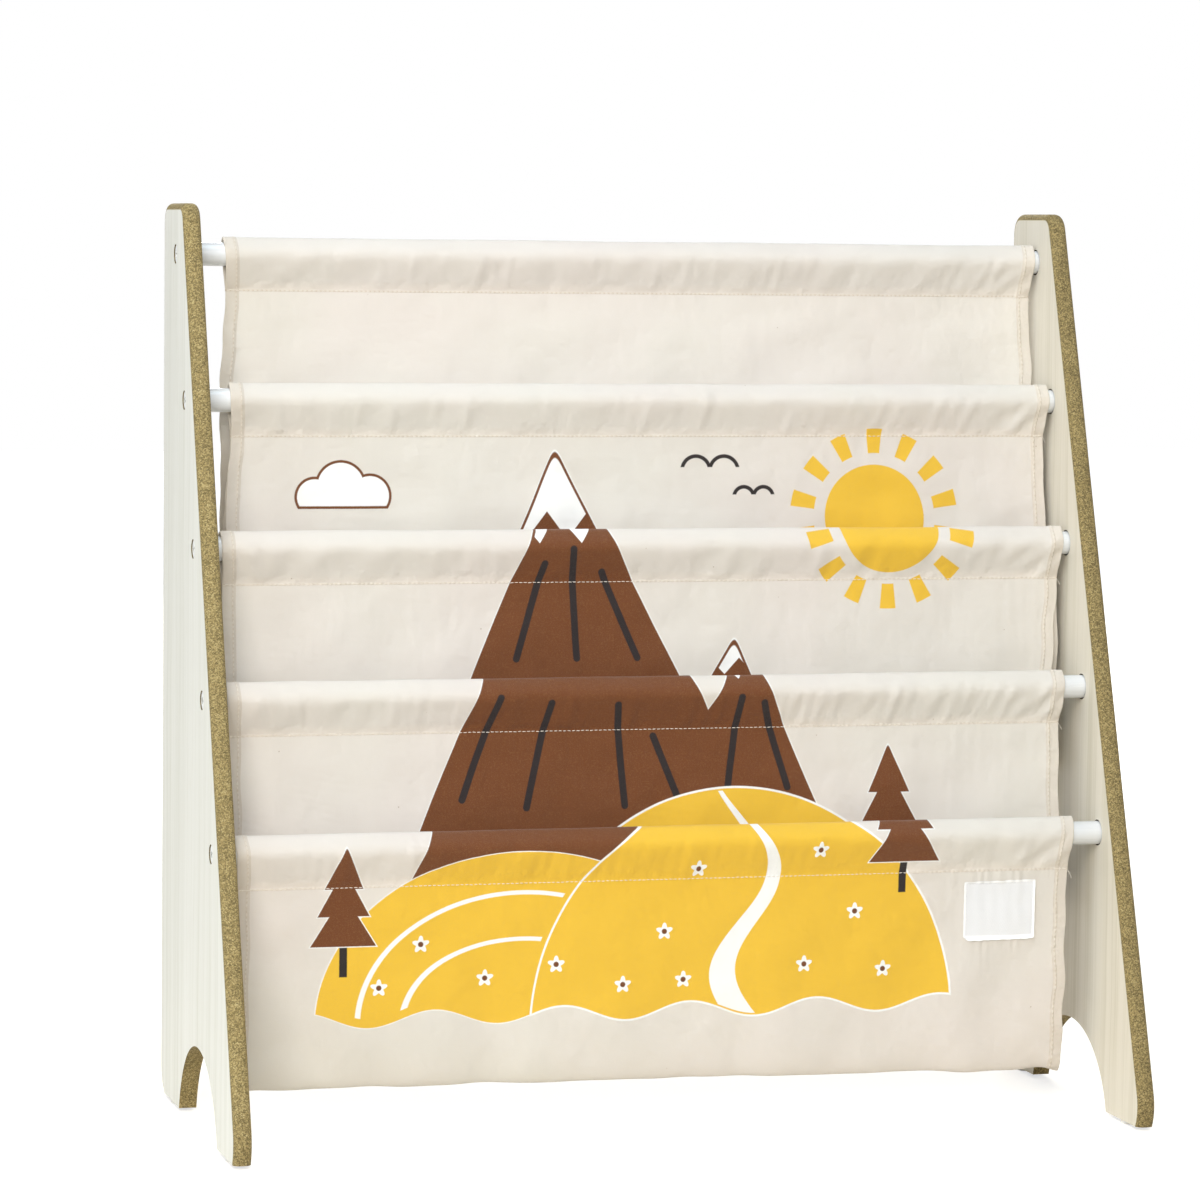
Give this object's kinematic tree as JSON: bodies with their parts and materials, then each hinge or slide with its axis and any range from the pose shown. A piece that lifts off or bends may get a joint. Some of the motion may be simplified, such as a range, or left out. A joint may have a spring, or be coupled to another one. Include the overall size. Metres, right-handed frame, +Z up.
{
  "type": "sling bookshelf",
  "caption": "Free-standing sling bookshelf for a child's room: board sides, tube rails and a canvas sling whose pockets hold picture books facing forward.",
  "frame": {"origin": "on the floor, under the middle of the footprint", "axes": "+X to the viewer's right along the rails, +Y to the back, +Z up"},
  "size_m": [0.624, 0.274, 0.61],
  "materials": {
    "foil_faced_board": "satin foil faces with raw fibreboard edges",
    "white_rail": "gloss powder coat",
    "nylon_plug": "matte",
    "white_screw": "satin",
    "white_glide": "satin",
    "canvas": "plain-weave cotton canvas, printed",
    "label_cloth": "matte woven"
  },
  "bodies": {
    "root": {"left_side_board": "foil_faced_board", "right_side_board": "foil_faced_board", "rail_1": "white_rail", "left_plug_1": "nylon_plug", "left_screw_1": "white_screw", "right_plug_1": "nylon_plug", "right_screw_1": "white_screw", "rail_2": "white_rail", "left_plug_2": "nylon_plug", "left_screw_2": "white_screw", "right_plug_2": "nylon_plug", "right_screw_2": "white_screw", "rail_3": "white_rail", "left_plug_3": "nylon_plug", "left_screw_3": "white_screw", "right_plug_3": "nylon_plug", "right_screw_3": "white_screw", "rail_4": "white_rail", "left_plug_4": "nylon_plug", "left_screw_4": "white_screw", "right_plug_4": "nylon_plug", "right_screw_4": "white_screw", "rail_5": "white_rail", "left_plug_5": "nylon_plug", "left_screw_5": "white_screw", "right_plug_5": "nylon_plug", "right_screw_5": "white_screw", "left_front_glide": "white_glide", "left_rear_glide": "white_glide", "right_front_glide": "white_glide", "right_rear_glide": "white_glide", "sling_tunnel_1": "canvas", "sling_tunnel_2": "canvas", "sling_tunnel_3": "canvas", "sling_tunnel_4": "canvas", "sling_tunnel_5": "canvas", "sling_pocket_1": "canvas", "sling_pocket_2": "canvas", "sling_pocket_3": "canvas", "sling_pocket_4": "canvas", "sewn_label": "label_cloth"}
  },
  "joints": []
}
